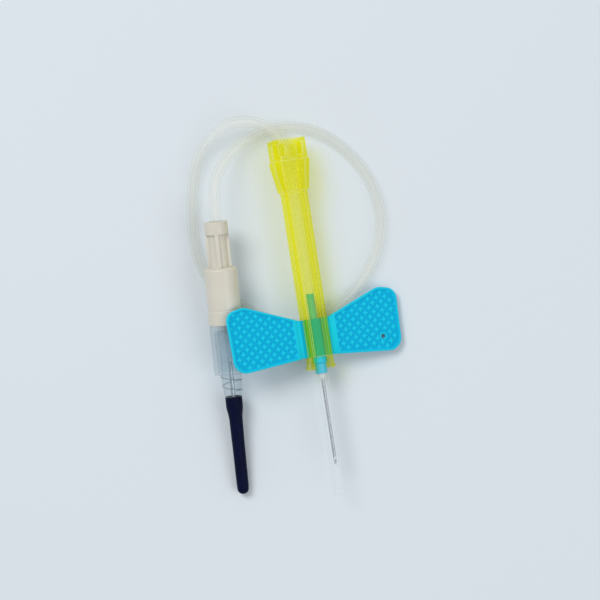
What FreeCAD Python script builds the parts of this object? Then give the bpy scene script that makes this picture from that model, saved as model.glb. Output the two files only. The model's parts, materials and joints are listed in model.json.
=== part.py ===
import FreeCAD, Part
import Sketcher
import math
import os

# Winged blood collection set, in millimetres.
# The needle lies along Y with its point towards -Y. Station 0 is near the middle of the wings' roots,
# and the set is then rolled about the needle, because it lies on one wing and on its coiled tube.
# The luer pieces are made along their own +Y, from the tube's entry towards the rear needle.
DIMENSIONS = [
    # steel needle
    ("needle_od", 0.64),
    ("needle_bore", 0.34),
    ("needle_reach", 19.0),
    ("needle_seat", 8.0),
    ("bevel_length", 2.2),
    # hub inside the wings
    ("nose_od", 2.4),
    ("nose_length", 2.1),
    ("flange_od", 2.9),
    ("flange_length", 1.3),
    ("core_od", 1.9),
    ("spigot_od", 1.6),
    ("spigot_length", 5.0),
    ("hub_lumen", 0.9),
    ("bead_od", 1.7),
    ("bead_length", 1.2),
    ("bead_shoulder_od", 1.36),
    ("bead_shoulder", 0.72),
    ("bead_end_od", 0.83),
    # saddle with its two webs
    ("saddle_front", 3.5),
    ("saddle_length", 7.6),
    ("saddle_width", 3.1),
    ("saddle_height", 2.8),
    ("saddle_bevel", 0.8),
    ("web_reach", 2.95),
    # wings
    ("wing_thickness", 0.9),
    ("wing_gap", 0.05),
    ("wing_span", 17.8),
    ("wing_tip_front", 17.4),
    ("wing_shoulder", 14.0),
    ("wing_rear", 8.5),
    ("wing_tip_rear", 7.7),
    ("wing_front", 4.85),
    ("wing_corner", 2.6),
    ("rim_width", 1.0),
    ("root_strip", 1.3),
    ("root_flat", 0.02),
    ("field_depth", 0.12),
    ("wing_hole_od", 1.0),
    ("wing_hole_x", 13.8),
    ("wing_hole_ahead", 1.5),
    # sliding shield
    ("shield_front", 6.0),
    ("shield_length", 46.3),
    ("shield_width", 5.0),
    ("shield_height", 4.4),
    ("shield_bevel", 0.8),
    ("shield_travel", 24.5),
    ("channel_clearance", 0.15),
    ("roof_thickness", 0.55),
    ("channel_bevel", 0.5),
    ("slot_clearance", 0.25),
    ("slot_end_gap", 0.6),
    ("leg_length", 2.5),
    ("lip_proud", 0.4),
    ("lip_length", 1.1),
    ("lip_height", 2.0),
    ("flare_length", 6.2),
    ("flare_ledge", 0.3),
    ("collar_width", 6.8),
    ("collar_height", 6.0),
    ("collar_bevel", 1.1),
    ("collar_length", 4.3),
    ("collar_wall", 0.7),
    ("collar_step", 0.25),
    ("groove_width", 0.9),
    ("groove_length", 2.6),
    ("groove_depth", 0.3),
    ("groove_offset", 1.7),
    # clear needle cover
    ("cover_mouth_od", 3.0),
    ("cover_tip_od", 2.6),
    ("cover_length", 26.5),
    ("cover_grip", 1.9),
    ("cover_fit", 0.05),
    ("cover_bore", 2.0),
    ("cover_tip_bore", 1.7),
    ("cover_end", 1.2),
    ("cover_nose", 0.5),
    # tube
    ("tube_od", 2.4),
    # luer connector on the tube's end
    ("grip_od", 4.7),
    ("grip_length", 2.6),
    ("stem_od", 3.6),
    ("stem_length", 6.6),
    ("fin_thickness", 0.8),
    ("bell_od", 6.6),
    ("bell_length", 8.5),
    ("ring_od", 6.8),
    ("ring_length", 2.9),
    ("socket_depth", 5.0),
    ("luer_lumen", 1.0),
    ("luer_base_od", 4.27),
    ("luer_tip_od", 3.85),
    ("luer_length", 7.0),
    ("luer_fit", 0.05),
    ("luer_end_gap", 0.8),
    # clear adapter for a tube holder
    ("joint_gap", 0.05),
    ("barrel_od", 6.7),
    ("barrel_length", 9.9),
    ("barrel_wall", 0.8),
    ("barrel_web", 1.4),
    ("adapter_core_od", 3.8),
    ("boss_od", 4.4),
    ("boss_end_od", 3.6),
    ("boss_length", 4.8),
    ("nipple_od", 2.0),
    ("nipple_length", 2.0),
    # rear needle and its rubber sleeve
    ("rear_needle_od", 0.82),
    ("rear_needle_bore", 0.5),
    ("rear_needle_seat", 9.0),
    ("rear_needle_reach", 17.4),
    ("rear_bevel", 2.0),
    ("sleeve_od", 2.4),
    ("sleeve_bore", 1.2),
    ("sleeve_length", 19.9),
    ("bulb_od", 3.4),
    ("bulb_length", 2.4),
    ("sleeve_taper", 1.6),
    ("sleeve_end", 1.6),
    ("dome_length", 1.08),
    ("dome_shoulder_od", 1.72),
    ("dome_shoulder", 0.36),
    ("dome_end_od", 0.84),
    # how the set lies
    ("axis_height", 5.63),
    ("roll_angle", 14.5),
    ("luer_left", 16.3),
    ("luer_station", 26.2),
    ("luer_height", 7.75),
    ("luer_yaw", 3.1),
    ("luer_pitch", 6.7),
]

FIN_COUNT = 4
ARC_SHARE = 0.45
CIRCLE = 360.0
SLIGHT_TURN = 0.01

# The tube's route: corner points from the hub, out of the shield's collar, once round and into the luer.
ROUTE_FROM_SHIELD = [
    (0.0, 38.8, 5.63),
    (-2.4, 42.9, 5.6),
    (-6.5, 45.3, 5.1),
    (-11.8, 45.3, 3.8),
    (-16.4, 42.2, 2.2),
    (-19.2, 37.4, 1.2),
    (-20.6, 31.0, 1.2),
    (-21.5, 24.2, 1.2),
    (-20.9, 17.6, 1.2),
    (-17.8, 12.3, 1.2),
    (-13.0, 7.7, 1.2),
    (-6.8, 4.0, 1.2),
    (-0.4, 3.1, 1.2),
    (5.6, 5.7, 1.2),
    (11.1, 10.0, 1.2),
    (15.0, 15.6, 1.2),
    (16.9, 22.6, 1.2),
    (15.7, 30.4, 1.2),
    (11.6, 37.2, 1.2),
    (6.0, 41.8, 1.2),
    (-0.2, 43.4, 1.2),
    (-5.8, 42.6, 1.2),
    (-10.6, 40.2, 3.0),
    (-14.2, 36.4, 6.2),
]
LUER_LEAD = 5.6


class Size:
    """A length with its number and the sheet expression that gives it."""

    def __init__(self, value, text):
        self.value = value
        self.text = text

    def joined(self, sign, value, other):
        return Size(value, f"({self.text} {sign} {as_size(other).text})")

    def __add__(self, other):
        return self.joined("+", self.value + as_size(other).value, other)

    def __sub__(self, other):
        return self.joined("-", self.value - as_size(other).value, other)

    def __mul__(self, other):
        return self.joined("*", self.value * as_size(other).value, other)

    def __truediv__(self, other):
        return self.joined("/", self.value / as_size(other).value, other)

    def __neg__(self):
        return Size(-self.value, f"(-{self.text})")


def as_size(number):
    """A plain number as a Size; a Size stays as it is."""
    if isinstance(number, Size):
        return number
    return Size(float(number), f"{float(number)}")


class Sizes:
    """The driving dimensions, read back from the sheet by name."""

    def __init__(self, sheet):
        for alias, _ in DIMENSIONS:
            setattr(self, alias, Size(float(sheet.get(alias)), f"sizes.{alias}"))


doc = FreeCAD.newDocument("winged_blood_collection_set")
sheet = doc.addObject("Spreadsheet::Sheet", "sizes")
sheet.Label = "driving dimensions"
for row, (alias, value) in enumerate(DIMENSIONS, start=1):
    sheet.set(f"A{row}", alias.replace("_", " "))
    sheet.set(f"B{row}", str(value))
    sheet.setAlias(f"B{row}", alias)
doc.recompute()
s = Sizes(sheet)


def new_body(name):
    body = doc.addObject("PartDesign::Body", name)
    body.Label = name
    return body


def outline(body, name, plane, points, station=None):
    """A closed sketch whose corners follow the sheet. The station moves it along its plane's normal."""
    sketch = body.newObject("Sketcher::SketchObject", name)
    support = [item for item in body.Origin.OriginFeatures if item.Role == plane][0]
    sketch.AttachmentSupport = [(support, "")]
    sketch.MapMode = "FlatFace"
    if station is not None:
        sketch.setExpression("AttachmentOffset.Base.z", station.text)
    corners = [(as_size(x), as_size(y)) for x, y in points]
    ends = [FreeCAD.Vector(x.value, y.value, 0) for x, y in corners]
    for i, end in enumerate(ends):
        sketch.addGeometry(Part.LineSegment(end, ends[(i + 1) % len(ends)]))
    for i, corner in enumerate(corners):
        sketch.addConstraint(Sketcher.Constraint("Coincident", i - 1 if i else len(ends) - 1, 2, i, 1))
        for kind, axis, size in (("DistanceX", -2, corner[0]), ("DistanceY", -1, corner[1])):
            if size.value == 0.0:
                sketch.addConstraint(Sketcher.Constraint("PointOnObject", i, 1, axis))
            else:
                index = sketch.addConstraint(Sketcher.Constraint(kind, -1, 1, i, 1, size.value))
                sketch.setExpression(f"Constraints[{index}]", size.text)
    return sketch


def round_outline(body, name, plane, diameter, x=0, y=0, station=None):
    """A circle sketch of a given diameter."""
    sketch = body.newObject("Sketcher::SketchObject", name)
    support = [item for item in body.Origin.OriginFeatures if item.Role == plane][0]
    sketch.AttachmentSupport = [(support, "")]
    sketch.MapMode = "FlatFace"
    if station is not None:
        sketch.setExpression("AttachmentOffset.Base.z", station.text)
    x, y = as_size(x), as_size(y)
    centre = FreeCAD.Vector(x.value, y.value, 0)
    sketch.addGeometry(Part.Circle(centre, FreeCAD.Vector(0, 0, 1), diameter.value / 2))
    index = sketch.addConstraint(Sketcher.Constraint("Diameter", 0, diameter.value))
    sketch.setExpression(f"Constraints[{index}]", diameter.text)
    for kind, axis, size in (("DistanceX", -2, x), ("DistanceY", -1, y)):
        if size.value == 0.0:
            sketch.addConstraint(Sketcher.Constraint("PointOnObject", 0, 3, axis))
        else:
            index = sketch.addConstraint(Sketcher.Constraint(kind, -1, 1, 0, 3, size.value))
            sketch.setExpression(f"Constraints[{index}]", size.text)
    return sketch


def pad(body, name, sketch, length, side="One side", back=False):
    feature = body.newObject("PartDesign::Pad", name)
    feature.Profile = sketch
    feature.SideType = side
    feature.Reversed = back
    feature.setExpression("Length", length.text)
    doc.recompute()
    return feature


def pocket(body, name, sketch, length, side="One side", back=False):
    """A cut that must take material away, or the build stops."""
    before = body.Shape.Volume
    feature = body.newObject("PartDesign::Pocket", name)
    feature.Profile = sketch
    feature.SideType = side
    feature.Reversed = back
    feature.setExpression("Length", length.text)
    doc.recompute()
    if not body.Shape.Volume < before:
        raise ValueError(f"{body.Label}: {name} cuts nothing")
    return feature


def revolved(body, name, sketch):
    """A turned form about the sketch's upright axis."""
    feature = body.newObject("PartDesign::Revolution", name)
    feature.Profile = sketch
    feature.ReferenceAxis = (sketch, ["V_Axis"])
    feature.Angle = CIRCLE
    doc.recompute()
    return feature


def loft(body, name, first, last, feature_type="PartDesign::AdditiveLoft"):
    feature = body.newObject(feature_type, name)
    feature.Profile = first
    feature.Sections = [last]
    feature.Ruled = True
    doc.recompute()
    return feature


def rounded(body, name, radius, wanted):
    """Rounds the edges of the body's last form that the test picks out."""
    last = body.Tip
    names = [f"Edge{i}" for i, edge in enumerate(last.Shape.Edges, start=1) if wanted(edge)]
    if not names:
        raise ValueError(f"{body.Label}: {name} finds no edge")
    feature = body.newObject("PartDesign::Fillet", name)
    feature.Base = (last, names)
    feature.setExpression("Radius", radius.text)
    doc.recompute()
    return feature


def bevelled(width, height, bevel):
    """The eight corners of a rectangle with cut corners, about the axis."""
    x, y = width / 2, height / 2
    return [
        (x - bevel, -y),
        (x, -y + bevel),
        (x, y - bevel),
        (x - bevel, y),
        (-x + bevel, y),
        (-x, y - bevel),
        (-x, -y + bevel),
        (-x + bevel, -y),
    ]


def rectangle(x0, y0, x1, y1):
    return [(x0, y0), (x1, y0), (x1, y1), (x0, y1)]


def runs_along(edge, axis):
    """True for a straight edge along one of the body's own axes."""
    if edge.Curve.TypeId != "Part::GeomLine":
        return False
    return edge.tangentAt(edge.FirstParameter).cross(axis).Length < SLIGHT_TURN


def middle(edge):
    return edge.valueAt((edge.FirstParameter + edge.LastParameter) / 2)


X_AXIS = FreeCAD.Vector(1, 0, 0)
Y_AXIS = FreeCAD.Vector(0, 1, 0)
Z_AXIS = FreeCAD.Vector(0, 0, 1)

# Stations along the needle, worked out from the lengths
nose_face = -(s.saddle_front + s.flange_length + s.nose_length)
saddle_rear = s.saddle_length - s.saddle_front
needle_tip = nose_face - s.needle_reach
channel_width = s.saddle_width + s.channel_clearance * 2
channel_height = s.shield_height - s.roof_thickness * 2
flare_start = s.shield_length - s.shield_front - s.collar_length - s.flare_length
collar_start = flare_start + s.flare_length
shield_rear = s.shield_length - s.shield_front
slot_front = -(s.saddle_front + s.slot_end_gap)
slot_rear = saddle_rear + s.shield_travel + s.slot_end_gap
wing_pivot = s.web_reach + s.wing_gap + s.wing_thickness / 2


def patient_needle():
    """The thin-wall needle with its slanted point, bevel up when the wings lie flat."""
    body = new_body("patient_needle")
    inner, outer = s.needle_bore / 2, s.needle_od / 2
    tip, end = needle_tip, nose_face + s.needle_seat
    wall = outline(body, "needle_wall", "XY_Plane", rectangle(inner, tip, outer, end))
    revolved(body, "needle_tube", wall)
    grind = outline(
        body,
        "point_cut",
        "YZ_Plane",
        [
            (tip, -outer),
            (tip + s.bevel_length, outer),
            (tip + s.bevel_length, s.needle_od),
            (tip - s.needle_od, s.needle_od),
            (tip - s.needle_od, -outer),
        ],
    )
    pocket(body, "point_bevel", grind, s.needle_od * 2, "Symmetric")
    return body


def needle_hub():
    """The rigid hub: nose for the cover, flange, core under the saddle and the spigot for the tube."""
    body = new_body("needle_hub")
    step = -(s.saddle_front + s.flange_length)
    tail = saddle_rear + s.spigot_length
    lumen, seat = s.hub_lumen / 2, nose_face + s.needle_seat
    profile = outline(
        body,
        "hub_profile",
        "XY_Plane",
        [
            (s.needle_od / 2, nose_face),
            (s.nose_od / 2, nose_face),
            (s.nose_od / 2, step),
            (s.flange_od / 2, step),
            (s.flange_od / 2, -s.saddle_front),
            (s.core_od / 2, -s.saddle_front),
            (s.core_od / 2, saddle_rear),
            (s.spigot_od / 2, saddle_rear),
            (s.spigot_od / 2, tail),
            (lumen, tail),
            (lumen, seat),
            (s.needle_od / 2, seat),
        ],
    )
    revolved(body, "hub_form", profile)
    return body


def needle_adhesive():
    """The milky bead that holds the needle in the hub's nose."""
    body = new_body("needle_adhesive")
    inner, outer = s.needle_od / 2, s.bead_od / 2
    profile = outline(
        body,
        "bead_profile",
        "XY_Plane",
        [
            (inner, nose_face),
            (outer, nose_face),
            (s.bead_shoulder_od / 2, nose_face - s.bead_shoulder),
            (s.bead_end_od / 2, nose_face - s.bead_length),
            (inner, nose_face - s.bead_length),
        ],
    )
    revolved(body, "bead", profile)
    return body


def wing_saddle():
    """The soft body around the hub, with the two webs that pass out through the shield's slots."""
    body = new_body("wing_saddle")
    section = bevelled(s.saddle_width, s.saddle_height, s.saddle_bevel)
    block = outline(body, "saddle_section", "XZ_Plane", section, s.saddle_front)
    pad(body, "saddle_block", block, s.saddle_length, back=True)
    half = s.wing_thickness / 2
    webs = outline(
        body, "web_section", "XZ_Plane", rectangle(-s.web_reach, -half, s.web_reach, half), s.saddle_front
    )
    pad(body, "webs", webs, s.saddle_length, back=True)
    hole = round_outline(body, "core_hole", "XZ_Plane", s.core_od, station=s.saddle_front)
    pocket(body, "core_bore", hole, s.saddle_length, back=False)
    return body


def wing(name, side, holed):
    """One flexible wing: a full-round root edge, rounded corners and a sunk field inside its rim."""
    body = new_body(name)
    root = wing_pivot
    root_out = root - s.wing_thickness / 2
    plan = [
        (root_out * side, saddle_rear),
        (s.wing_shoulder * side, s.wing_rear),
        (s.wing_span * side, s.wing_tip_rear),
        (s.wing_tip_front * side, -s.wing_front),
        (root_out * side, -s.saddle_front),
    ]
    sketch = outline(body, "wing_plan", "XY_Plane", plan)
    pad(body, "wing_plate", sketch, s.wing_thickness, "Symmetric")
    rounded(
        body,
        "wing_corners",
        s.wing_corner,
        lambda edge: runs_along(edge, Z_AXIS) and abs(middle(edge).x) > (root + s.wing_corner).value,
    )
    rounded(
        body,
        "root_round",
        (s.wing_thickness - s.root_flat) / 2,
        lambda edge: runs_along(edge, Y_AXIS) and abs(middle(edge).x) < root.value,
    )
    inner = root_out + s.root_strip
    field = outline(
        body,
        "field_plan",
        "XY_Plane",
        [
            (inner * side, saddle_rear - s.rim_width / 2),
            (s.wing_shoulder * side, s.wing_rear - s.rim_width),
            ((s.wing_span - s.rim_width) * side, s.wing_tip_rear - s.rim_width),
            ((s.wing_tip_front - s.rim_width) * side, s.rim_width - s.wing_front),
            (inner * side, s.rim_width - s.saddle_front),
        ],
        s.wing_thickness / 2,
    )
    pocket(body, "studded_field", field, s.field_depth)
    field_corner = s.wing_corner - s.rim_width
    rounded(
        body,
        "field_corners",
        field_corner,
        lambda edge: runs_along(edge, Z_AXIS)
        and edge.Length < s.wing_thickness.value / 2
        and abs(middle(edge).x) > inner.value + field_corner.value,
    )
    if holed:
        hole = round_outline(
            body,
            "hole_plan",
            "XY_Plane",
            s.wing_hole_od,
            s.wing_hole_x * side,
            -s.wing_hole_ahead,
        )
        pocket(body, "wing_hole", hole, s.wing_thickness * 2, "Symmetric")
    return body


def needle_shield():
    """The sliding shield: a slotted channel with two front legs, a flare and a grooved collar."""
    body = new_body("needle_shield")
    front = s.shield_front
    tube = bevelled(s.shield_width, s.shield_height, s.shield_bevel)
    section = outline(body, "tube_section", "XZ_Plane", tube, front)
    pad(body, "tube_form", section, flare_start + front, back=True)
    ledge = s.flare_ledge * 2
    flare = bevelled(s.shield_width + ledge, s.shield_height + ledge, s.shield_bevel)
    flare_end = bevelled(s.collar_width, s.collar_height, s.collar_bevel)
    loft(
        body,
        "flare_form",
        outline(body, "flare_section", "XZ_Plane", flare, -flare_start),
        outline(body, "flare_end_section", "XZ_Plane", flare_end, -collar_start),
    )
    step = s.collar_step * 2
    collar = bevelled(s.collar_width - step, s.collar_height - step, s.collar_bevel)
    rim = outline(body, "collar_section", "XZ_Plane", collar, -collar_start)
    pad(body, "collar_form", rim, s.collar_length, back=True)

    channel = bevelled(channel_width, channel_height, s.channel_bevel)
    bore = outline(body, "channel_section", "XZ_Plane", channel, front)
    pocket(body, "channel", bore, flare_start + front, back=False)
    wall = s.collar_wall * 2 + step
    mouth = bevelled(s.collar_width - wall, s.collar_height - wall, s.channel_bevel)
    loft(
        body,
        "flared_channel",
        outline(body, "flare_bore_section", "XZ_Plane", channel, -flare_start),
        outline(body, "flare_bore_end", "XZ_Plane", mouth, -collar_start),
        "PartDesign::SubtractiveLoft",
    )
    mouth_sketch = outline(body, "collar_bore_section", "XZ_Plane", mouth, -collar_start)
    pocket(body, "collar_bore", mouth_sketch, s.collar_length, back=False)

    slot_half = s.wing_thickness / 2 + s.slot_clearance
    slot = outline(body, "slot_side", "YZ_Plane", rectangle(slot_front, -slot_half, slot_rear, slot_half))
    pocket(body, "wing_slots", slot, s.collar_width * 2, "Symmetric")

    half = channel_width / 2
    notch = outline(
        body, "roof_notch", "XY_Plane", rectangle(-half, -front - s.leg_length, half, s.leg_length - front)
    )
    pocket(body, "front_notch", notch, s.collar_height * 2, "Symmetric")

    side = s.shield_width / 2
    for name, sign in (("lip_right", 1), ("lip_left", -1)):
        lip = outline(
            body,
            f"{name}_plan",
            "XY_Plane",
            [
                ((side - s.lip_proud) * sign, -front),
                ((side + s.lip_proud / 2) * sign, -front),
                ((side + s.lip_proud) * sign, s.lip_length / 2 - front),
                (side * sign, s.lip_length - front),
                ((side - s.lip_proud) * sign, s.lip_length - front),
            ],
        )
        pad(body, name, lip, s.lip_height, "Symmetric")

    rear, near, far = shield_rear, s.groove_offset - s.groove_width / 2, s.groove_offset + s.groove_width / 2
    start = rear - s.collar_length / 2 - s.groove_length / 2
    top = s.collar_height / 2 - s.collar_step
    for name, x0, x1 in (("groove_right", near, far), ("groove_left", -far, -near)):
        plan = rectangle(x0, start, x1, start + s.groove_length)
        upper = outline(body, f"{name}_top_plan", "XY_Plane", plan, top)
        pocket(body, f"{name}_top", upper, s.groove_depth)
        lower = outline(body, f"{name}_base_plan", "XY_Plane", plan, -top)
        pocket(body, f"{name}_base", lower, s.groove_depth, back=True)
    return body


def needle_cover():
    """The clear tapered cover, pushed over the hub's nose."""
    body = new_body("needle_cover")
    mouth = nose_face + s.cover_grip
    tip = mouth - s.cover_length
    seat = nose_face - s.cover_fit * 2
    mouth_bore = s.nose_od / 2 + s.cover_fit
    profile = outline(
        body,
        "cover_profile",
        "XY_Plane",
        [
            (mouth_bore, mouth),
            (s.cover_mouth_od / 2, mouth),
            (s.cover_tip_od / 2, tip + s.cover_nose),
            (s.cover_tip_od / 2 - s.cover_nose, tip),
            (0, tip),
            (0, tip + s.cover_end),
            (s.cover_tip_bore / 2, tip + s.cover_end),
            (s.cover_bore / 2, seat),
            (mouth_bore, seat),
        ],
    )
    revolved(body, "cover_form", profile)
    return body


bell_start = s.grip_length + s.stem_length
connector_end = bell_start + s.bell_length + s.ring_length


def luer_connector():
    """The ivory female luer: grip, finned stem, bell and end ring, with the tube's socket behind."""
    body = new_body("luer_connector")
    seat = connector_end - s.luer_length - s.luer_end_gap
    slope = (s.luer_base_od - s.luer_tip_od) / 2
    throat = s.luer_tip_od / 2 + s.luer_fit - slope * s.luer_end_gap / s.luer_length
    profile = outline(
        body,
        "connector_profile",
        "XY_Plane",
        [
            (s.tube_od / 2, 0),
            (s.grip_od / 2, 0),
            (s.grip_od / 2, s.grip_length),
            (s.stem_od / 2, s.grip_length),
            (s.stem_od / 2, bell_start),
            (s.bell_od / 2 - s.collar_step, bell_start),
            (s.bell_od / 2, bell_start + s.collar_step),
            (s.bell_od / 2, bell_start + s.bell_length),
            (s.ring_od / 2, bell_start + s.bell_length),
            (s.ring_od / 2, connector_end),
            (s.luer_base_od / 2 + s.luer_fit, connector_end),
            (throat, seat),
            (s.luer_lumen / 2, seat),
            (s.luer_lumen / 2, s.socket_depth),
            (s.tube_od / 2, s.socket_depth),
        ],
    )
    revolved(body, "connector_form", profile)
    half, inner, outer = s.fin_thickness / 2, s.stem_od / 2 - s.collar_step, s.grip_od / 2
    fin = outline(
        body, "fin_section", "XZ_Plane", rectangle(inner, -half, outer, half), -s.grip_length
    )
    first = pad(body, "fin", fin, s.stem_length, back=True)
    ring = body.newObject("PartDesign::PolarPattern", "fins")
    ring.Originals = [first]
    ring.Axis = ([item for item in body.Origin.OriginFeatures if item.Role == "Y_Axis"][0], [""])
    ring.Angle = CIRCLE
    ring.Occurrences = FIN_COUNT
    body.Tip = ring
    doc.recompute()
    return body


barrel_start = connector_end + s.joint_gap
barrel_end = barrel_start + s.barrel_length
boss_end = barrel_end + s.boss_length


def luer_adapter():
    """The clear adapter: male luer, skirted barrel, tapered boss and the nipple under the sleeve."""
    body = new_body("luer_adapter")
    hole, lumen = s.rear_needle_od / 2, s.luer_lumen / 2
    seat = boss_end + s.nipple_length - s.rear_needle_seat
    web_end = barrel_start + s.barrel_web
    profile = outline(
        body,
        "adapter_profile",
        "XY_Plane",
        [
            (lumen, barrel_start - s.luer_length),
            (s.luer_tip_od / 2, barrel_start - s.luer_length),
            (s.luer_base_od / 2, barrel_start),
            (s.barrel_od / 2, barrel_start),
            (s.barrel_od / 2, barrel_end),
            (s.barrel_od / 2 - s.barrel_wall, barrel_end),
            (s.barrel_od / 2 - s.barrel_wall, web_end),
            (s.adapter_core_od / 2, web_end),
            (s.adapter_core_od / 2, barrel_end),
            (s.boss_od / 2, barrel_end),
            (s.boss_end_od / 2, boss_end),
            (s.nipple_od / 2, boss_end),
            (s.nipple_od / 2, boss_end + s.nipple_length),
            (hole, boss_end + s.nipple_length),
            (hole, seat),
            (lumen, seat),
        ],
    )
    revolved(body, "adapter_form", profile)
    return body


def stopper_needle():
    """The rear needle that pierces a tube's stopper, inside its rubber sleeve."""
    body = new_body("stopper_needle")
    start = boss_end + s.nipple_length - s.rear_needle_seat
    tip = boss_end + s.rear_needle_reach
    outer = s.rear_needle_od / 2
    wall = outline(body, "rear_wall", "XY_Plane", rectangle(s.rear_needle_bore / 2, start, outer, tip))
    revolved(body, "rear_tube", wall)
    grind = outline(
        body,
        "rear_point_cut",
        "YZ_Plane",
        [
            (tip, -outer),
            (tip - s.rear_bevel, outer),
            (tip - s.rear_bevel, s.rear_needle_od),
            (tip + s.rear_needle_od, s.rear_needle_od),
            (tip + s.rear_needle_od, -outer),
        ],
    )
    pocket(body, "rear_point", grind, s.rear_needle_od * 2, "Symmetric")
    return body


def stopper_sleeve():
    """The closed rubber sleeve over the rear needle, with its bulb pushed on the nipple."""
    body = new_body("stopper_sleeve")
    end = boss_end + s.sleeve_length
    neck = boss_end + s.bulb_length
    radius = s.sleeve_od / 2
    profile = outline(
        body,
        "sleeve_profile",
        "XY_Plane",
        [
            (s.nipple_od / 2, boss_end),
            (s.bulb_od / 2, boss_end),
            (s.bulb_od / 2, neck),
            (radius, neck + s.sleeve_taper),
            (radius, end - s.dome_length),
            (s.dome_shoulder_od / 2, end - s.dome_shoulder),
            (s.dome_end_od / 2, end),
            (0, end),
            (0, end - s.sleeve_end),
            (s.sleeve_bore / 2, end - s.sleeve_end),
            (s.sleeve_bore / 2, boss_end + s.nipple_length),
            (s.nipple_od / 2, boss_end + s.nipple_length),
        ],
    )
    revolved(body, "sleeve_form", profile)
    return body


def laid(luer=False):
    """Where a piece lies: rolled about the needle, or along the tilted axis of the luer pieces."""
    if not luer:
        base = FreeCAD.Vector(0, 0, s.axis_height.value)
        return FreeCAD.Placement(base, FreeCAD.Rotation(Y_AXIS, s.roll_angle.value))
    base = FreeCAD.Vector(-s.luer_left.value, s.luer_station.value, s.luer_height.value)
    heading = FreeCAD.Rotation(Z_AXIS, 180 - s.luer_yaw.value)
    dip = FreeCAD.Rotation(X_AXIS, -s.luer_pitch.value)
    return FreeCAD.Placement(base, heading.multiply(dip))


def tube_route():
    """The tube's corner points, with its first one at the saddle and its last two in the luer's axis."""
    luer = laid(luer=True)
    start = laid().multVec(FreeCAD.Vector(0, saddle_rear.value, 0))
    lead = luer.multVec(FreeCAD.Vector(0, -LUER_LEAD, 0))
    end = luer.multVec(FreeCAD.Vector(0, s.socket_depth.value, 0))
    return [start] + [FreeCAD.Vector(*point) for point in ROUTE_FROM_SHIELD] + [lead, end]


def tangent_path(points):
    """Straight runs joined by tangent arcs, each arc as large as its two runs allow."""
    edges, radii, last = [], [], points[0]
    for before, corner, after in zip(points, points[1:], points[2:]):
        back, ahead = before - corner, after - corner
        reach = ARC_SHARE * min(back.Length, ahead.Length)
        turn = math.pi - back.getAngle(ahead)
        back.normalize()
        ahead.normalize()
        first, final = corner + back * reach, corner + ahead * reach
        radius = reach / math.tan(turn / 2)
        inward = back + ahead
        inward.normalize()
        mid = corner + inward * (radius / math.cos(turn / 2) - radius)
        edges.append(Part.LineSegment(last, first).toShape())
        edges.append(Part.Arc(first, mid, final).toShape())
        radii.append(radius)
        last = final
    edges.append(Part.LineSegment(last, points[-1]).toShape())
    return Part.Wire(edges), radii


def tubing():
    """The clear tube, from over the hub's spigot to the bottom of the connector's socket."""
    points = tube_route()
    path, radii = tangent_path(points)
    ahead = points[1] - points[0]
    ring = Part.Wire(Part.Circle(points[0], ahead, s.tube_od.value / 2).toShape())
    whole = path.makePipeShell([ring], True, True)
    shape = whole.cut(Part.makeCylinder(s.spigot_od.value / 2, s.spigot_length.value, points[0], ahead))
    area = math.pi * s.tube_od.value**2 / 4
    print("tube radii", " ".join(f"{radius:.1f}" for radius in radii))
    print(f"tube length {path.Length:.1f}, volume {whole.Volume:.1f} for {area * path.Length:.1f}")
    piece = doc.addObject("Part::Feature", "tubing")
    piece.Label = "tubing"
    piece.Shape = shape
    return piece


needle_side = [
    needle_shield(),
    wing_saddle(),
    wing("wing_left", -1, holed=False),
    wing("wing_right", 1, holed=True),
    needle_hub(),
    patient_needle(),
    needle_adhesive(),
    needle_cover(),
]
luer_side = [luer_connector(), luer_adapter(), stopper_needle(), stopper_sleeve()]
tube = tubing()
doc.recompute()

for piece in needle_side:
    piece.Placement = laid()
for piece in luer_side:
    piece.Placement = laid(luer=True)

# The origin is under the middle of the set without its tube, on the surface that it lies on.
solids = [piece.Shape.optimalBoundingBox(False, False) for piece in needle_side + luer_side]
centre_x = (min(box.XMin for box in solids) + max(box.XMax for box in solids)) / 2
centre_y = (min(box.YMin for box in solids) + max(box.YMax for box in solids)) / 2
shift = FreeCAD.Placement(FreeCAD.Vector(-centre_x, -centre_y, 0), FreeCAD.Rotation())
pieces = needle_side + luer_side + [tube]
for piece in pieces:
    piece.Placement = shift.multiply(piece.Placement)
print(f"shift {-centre_x:.4f} {-centre_y:.4f}, lowest {min(box.ZMin for box in solids):.3f}")

for item in doc.Objects:
    if "Invalid" in item.State or "Error" in item.State:
        raise ValueError(f"{item.Label} failed: {item.State}")
os.makedirs("parts", exist_ok=True)
for piece in pieces:
    if piece.Shape.isNull() or not piece.Shape.isValid():
        raise ValueError(f"{piece.Label} has no valid shape")
    piece.Shape.exportStep(f"parts/{piece.Label}.step")
    print(piece.Label, len(piece.Shape.Solids), f"{piece.Shape.Volume:.2f}")
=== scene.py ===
import json
import math

import bmesh
import bpy
from mathutils import Matrix, Vector
from mathutils.bvhtree import BVHTree


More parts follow.
